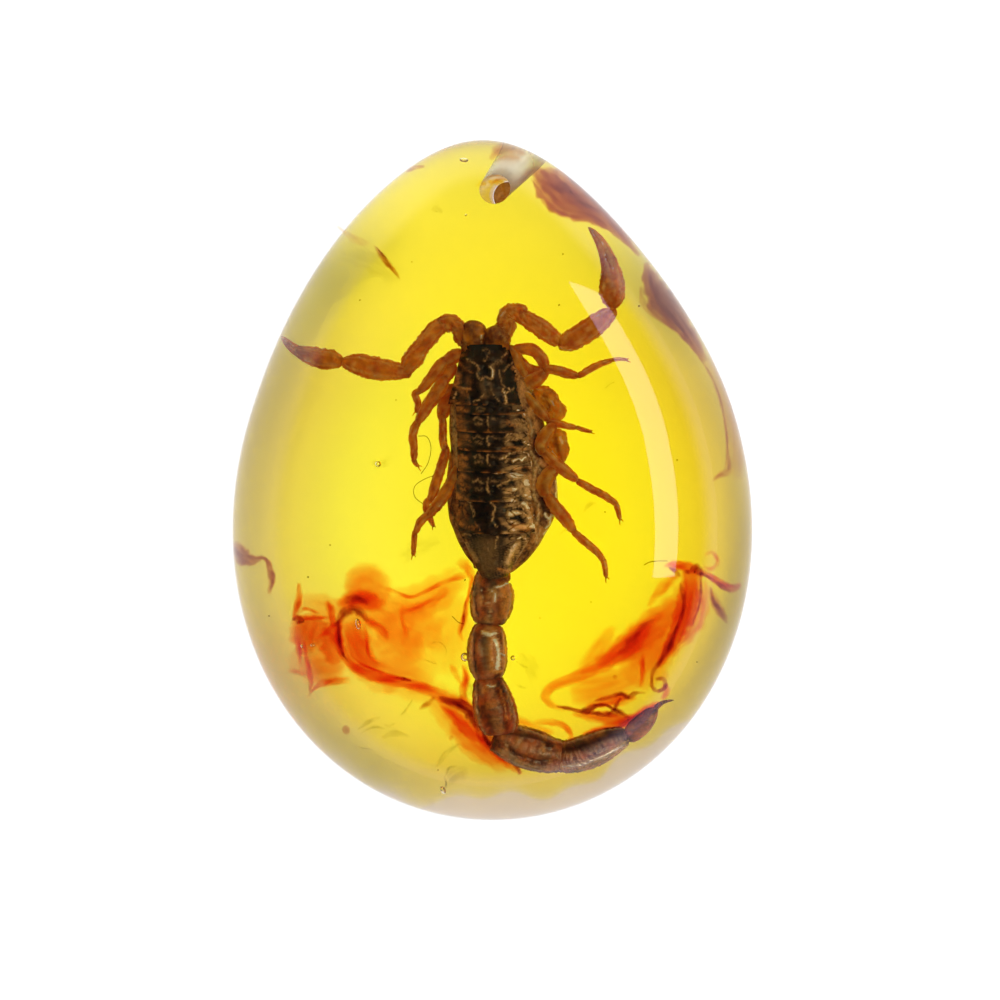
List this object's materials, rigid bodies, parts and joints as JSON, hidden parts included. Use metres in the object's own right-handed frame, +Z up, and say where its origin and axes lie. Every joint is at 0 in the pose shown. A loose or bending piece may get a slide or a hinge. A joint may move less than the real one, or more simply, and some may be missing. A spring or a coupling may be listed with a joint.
{
  "type": "scorpion in resin drop",
  "caption": "Teardrop of clear amber-coloured resin on a flat back, with a scorpion sealed inside and a drilled cord hole near its tip.",
  "frame": {"origin": "on the surface that the flat back rests on, under the middle of the bounding box", "axes": "+Z up through the dome, +Y along the drop to its pointed tip, +X across it"},
  "size_m": [0.0398, 0.052, 0.016],
  "materials": {
    "amber_resin": "clear yellow-amber casting resin, polished all over, with a rough drilled wall in the cord hole",
    "dark_cuticle": "dried, near-black brown back plates with a dull gloss and fine grains",
    "brown_cuticle": "dried, half see-through reddish brown shell of the legs, claws and tail",
    "soft_membrane": "wrinkled tan membrane between the plates",
    "orange_dye": "orange to red-brown dye curled through the resin in thin veils",
    "air_bubble": "small air bubbles and flaws",
    "debris": "specks and fibres of bark and dust"
  },
  "bodies": {
    "root": {"resin_drop": "amber_resin"}
  },
  "joints": []
}
